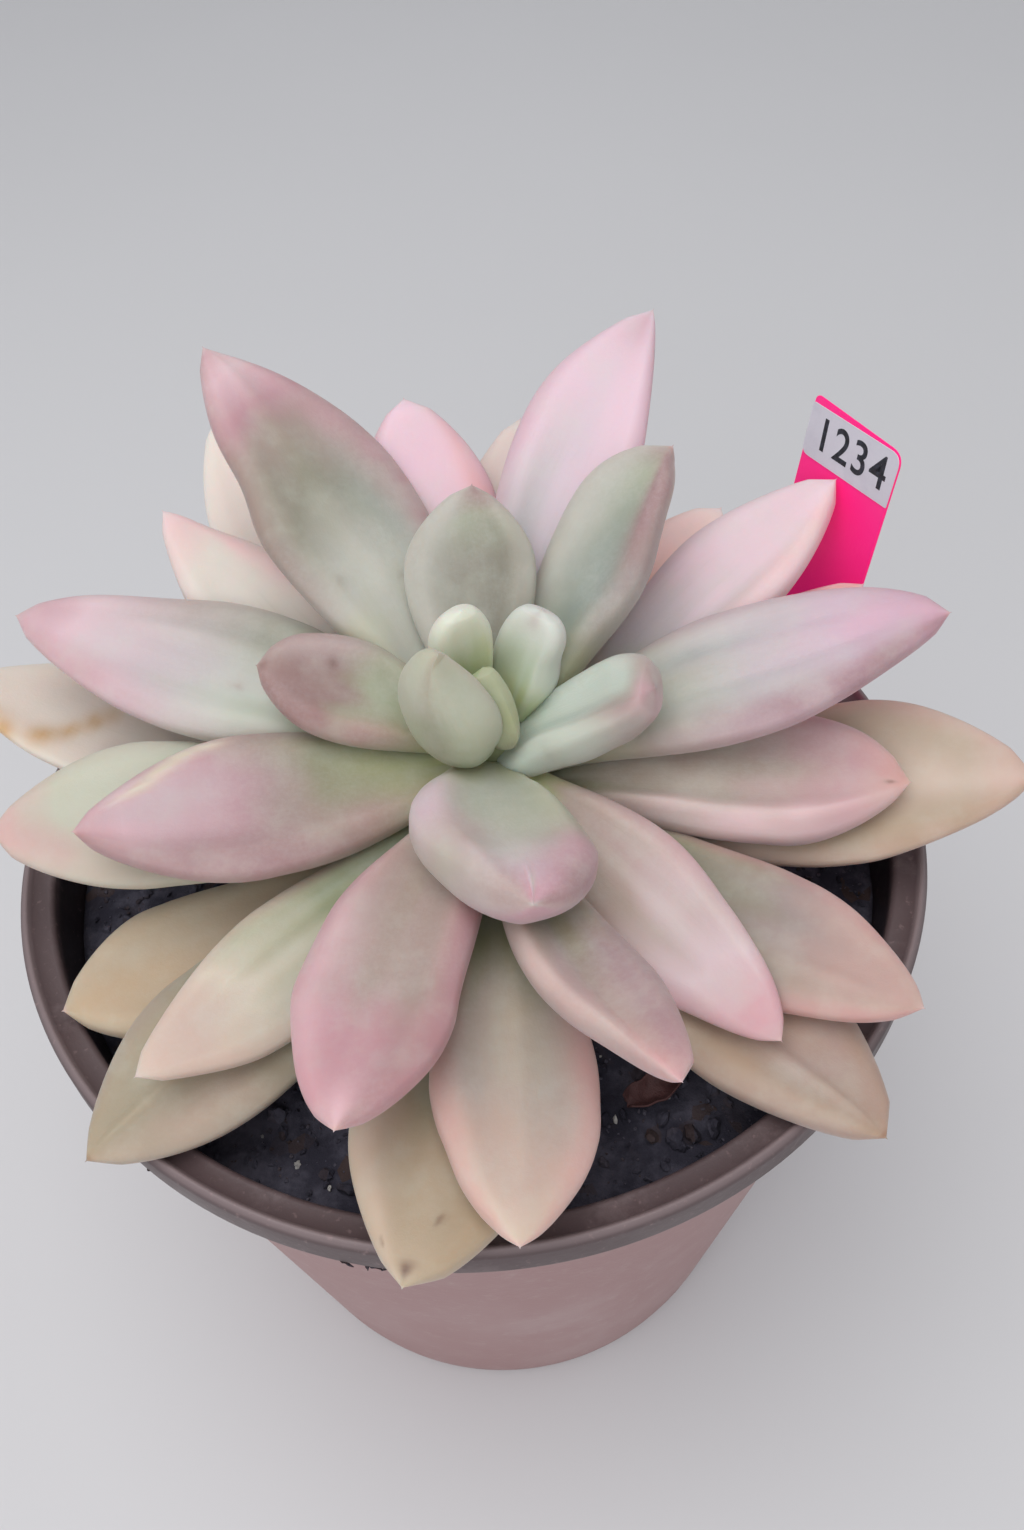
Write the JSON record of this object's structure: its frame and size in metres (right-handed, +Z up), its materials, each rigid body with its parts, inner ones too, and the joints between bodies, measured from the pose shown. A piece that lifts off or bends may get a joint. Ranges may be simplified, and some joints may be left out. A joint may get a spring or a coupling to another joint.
{
  "type": "potted echeveria",
  "caption": "Rosette succulent with thick pointed leaves on a short stem, growing in dark soil in a round tapered plastic pot with a plant label.",
  "frame": {"origin": "middle of the pot's base, on the surface that the pot stands on", "axes": "+Z up, -Y toward the front of the plant, +X to the right seen from the front"},
  "size_m": [0.1638, 0.1469, 0.1713],
  "materials": {
    "pot_plastic": "moulded, slightly dull",
    "stem": "fleshy, pale green brown",
    "soil": "loose dark peat",
    "leaf": "fleshy with a powdery bloom",
    "dry_leaf": "dry and curled",
    "label_plastic": "thin sheet, slightly glossy",
    "sticker": "matt printed film"
  },
  "bodies": {
    "root": {"pot": "pot_plastic", "stem": "stem", "label": "label_plastic", "label_sticker": "sticker", "soil": "soil", "dry_leaf_scrap": "dry_leaf", "bud_leaf_inner": "leaf", "bud_leaf_back": "leaf", "bud_leaf_front": "leaf", "bud_leaf_right": "leaf", "young_leaf_right": "leaf", "young_leaf_back": "leaf", "young_leaf_left": "leaf", "young_leaf_front": "leaf", "young_leaf_back_right": "leaf", "mid_leaf_left_front": "leaf", "mid_leaf_front_right": "leaf", "mid_leaf_back_left": "leaf", "mid_leaf_front_left": "leaf", "mid_leaf_right": "leaf", "mid_leaf_left": "leaf", "low_leaf_front_narrow": "leaf", "mid_leaf_back_right": "leaf", "low_leaf_left_front": "leaf", "low_leaf_right": "leaf", "low_leaf_back": "leaf", "low_leaf_front": "leaf", "low_leaf_right_back": "leaf", "low_leaf_left": "leaf", "low_leaf_right_front": "leaf", "low_leaf_back_inner": "leaf", "old_leaf_left_front": "leaf", "old_leaf_right": "leaf", "low_leaf_left_back": "leaf", "low_leaf_back_right": "leaf", "old_leaf_left_low": "leaf", "low_leaf_back_left": "leaf", "old_leaf_front": "leaf", "old_leaf_right_back": "leaf", "old_leaf_left": "leaf", "old_leaf_right_front": "leaf"}
  },
  "joints": []
}
